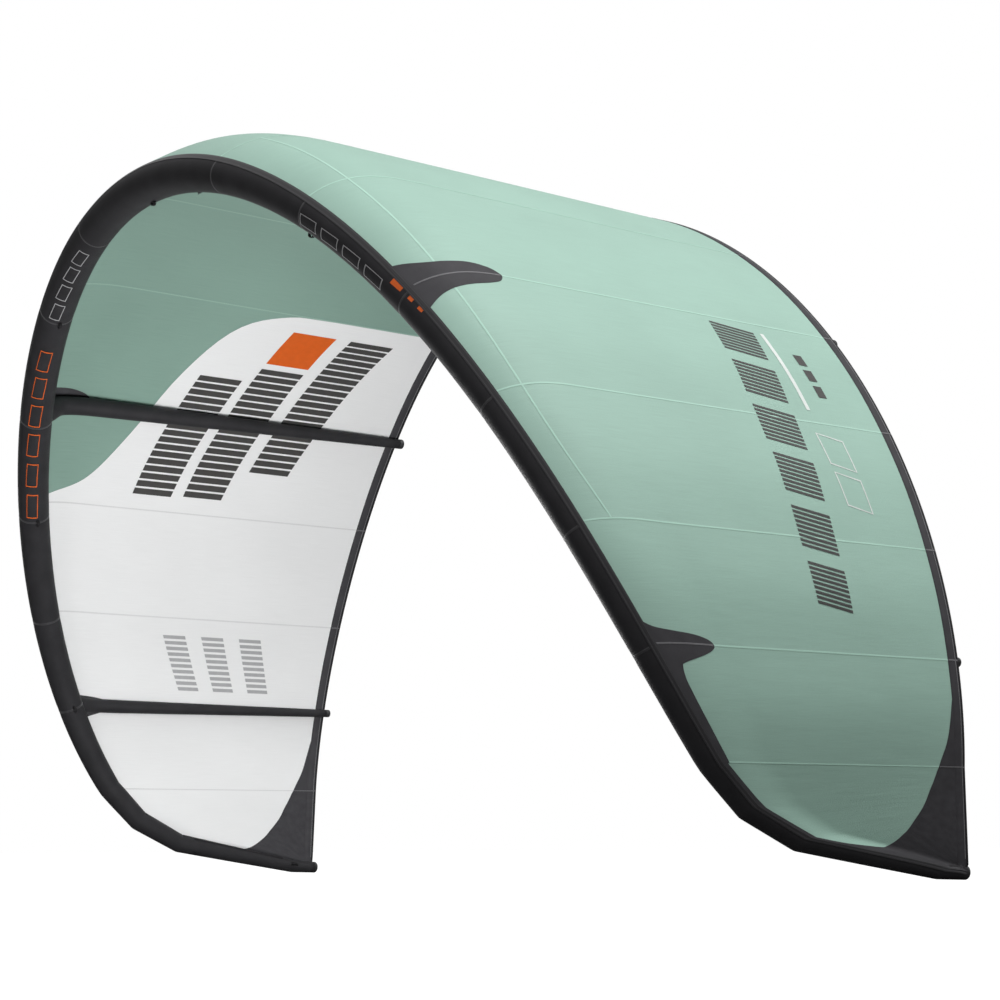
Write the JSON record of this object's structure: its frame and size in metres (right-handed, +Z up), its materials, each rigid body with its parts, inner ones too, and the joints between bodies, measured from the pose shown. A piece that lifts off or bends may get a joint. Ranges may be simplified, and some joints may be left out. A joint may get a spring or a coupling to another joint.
{
  "type": "kitesurf kite",
  "caption": "Arched inflatable kite: a segmented tube leading edge and struts carry a sewn canopy, with inflate valve, zips and line loops.",
  "frame": {"origin": "on the leading-edge tube's axis at the middle of the kite", "axes": "+X towards the kite's right-hand wingtip, +Y from the leading edge to the trailing edge, +Z up through the top of the arch"},
  "size_m": [6.1648, 2.3422, 3.2802],
  "materials": {
    "ripstop": "coated ripstop, mint green outside",
    "dacron": "charcoal polyester sailcloth",
    "dark_dacron_trim": "charcoal reinforcement cloth",
    "bladder_film": "polyurethane film",
    "cap_cloth": "moulded rubber-coated end",
    "webbing": "woven nylon",
    "zip_tape": "coil zip on woven tape",
    "zip_metal": "black coated zinc",
    "silicone": "soft silicone",
    "pin_steel": "stainless steel",
    "valve_plastic": "moulded nylon"
  },
  "bodies": {
    "kite": {"bladder_zip_left": "zip_tape", "bladder_zip_right": "zip_tape", "bridle_loops": "webbing", "canopy_centre": "ripstop", "canopy_fifth_left": "ripstop", "canopy_fifth_right": "ripstop", "canopy_fourth_left": "ripstop", "canopy_fourth_right": "ripstop", "canopy_second_left": "ripstop", "canopy_second_right": "ripstop", "canopy_seventh_left": "ripstop", "canopy_seventh_right": "ripstop", "canopy_sixth_left": "ripstop", "canopy_sixth_right": "ripstop", "canopy_third_left": "ripstop", "canopy_third_right": "ripstop", "canopy_wingtip_left": "ripstop", "canopy_wingtip_right": "ripstop", "fin_patches_inner": "dark_dacron_trim", "fin_patches_outer": "dark_dacron_trim", "leading_edge_bladder": "bladder_film", "leading_edge_inner_left": "dacron", "leading_edge_inner_right": "dacron", "leading_edge_middle": "dacron", "leading_edge_outer_left": "dacron", "leading_edge_outer_right": "dacron", "leading_edge_shoulder_left": "dacron", "leading_edge_shoulder_right": "dacron", "leash_loop": "webbing", "rear_line_loops": "webbing", "strut_bladders_inner": "bladder_film", "strut_bladders_outer": "bladder_film", "strut_caps_inner": "cap_cloth", "strut_caps_outer": "cap_cloth", "strut_inner_left": "dacron", "strut_inner_right": "dacron", "strut_outer_left": "dacron", "strut_outer_right": "dacron", "trailing_band_middle": "dark_dacron_trim", "trailing_band_outer_left": "dark_dacron_trim", "trailing_band_outer_right": "dark_dacron_trim", "trailing_band_wingtip_left": "dark_dacron_trim", "trailing_band_wingtip_right": "dark_dacron_trim", "valve_base": "valve_plastic", "wingtip_elbow_left": "dacron", "wingtip_elbow_right": "dacron", "wingtip_end_cap_left": "cap_cloth", "wingtip_end_cap_right": "cap_cloth", "wingtip_patch_left": "dark_dacron_trim", "wingtip_patch_right": "dark_dacron_trim", "wingtip_tube_left": "dacron", "wingtip_tube_right": "dacron"},
    "valve_collar": {"valve_collar": "valve_plastic", "valve_hinge_pin": "pin_steel"},
    "valve_cap": {"valve_cap": "valve_plastic"},
    "valve_flap": {"valve_flap": "silicone"},
    "zip_slider_right": {"zip_slider_right": "zip_metal"},
    "zip_slider_left": {"zip_slider_left": "zip_metal"}
  },
  "joints": [
    {"name": "collar_turn", "type": "hinge", "parent": "kite", "child": "valve_collar", "pos_m": [0.36948, 0.06568, -0.0826], "axis": [-0.1128, 0.7001, -0.705], "range_deg": [0, 45]},
    {"name": "cap_hinge", "type": "hinge", "parent": "valve_collar", "child": "valve_cap", "pos_m": [0.36952, 0.09155, -0.07465], "axis": [0.9918, 0.0362, -0.1228], "range_deg": [0, 140]},
    {"name": "flap_hinge", "type": "hinge", "parent": "kite", "child": "valve_flap", "pos_m": [0.37001, 0.04673, -0.08392], "axis": [0.9918, 0.0362, -0.1228], "range_deg": [0, 50], "stiffness_Nm_per_rad": 0.002, "springref_deg": -28.65},
    {"name": "zip_slide_right", "type": "slide", "parent": "kite", "child": "zip_slider_right", "axis": [-0.0156, 0.9862, -0.1645], "range_m": [0, 0.47]},
    {"name": "zip_slide_left", "type": "slide", "parent": "kite", "child": "zip_slider_left", "axis": [0.0156, 0.9862, -0.1645], "range_m": [0, 0.47]}
  ]
}
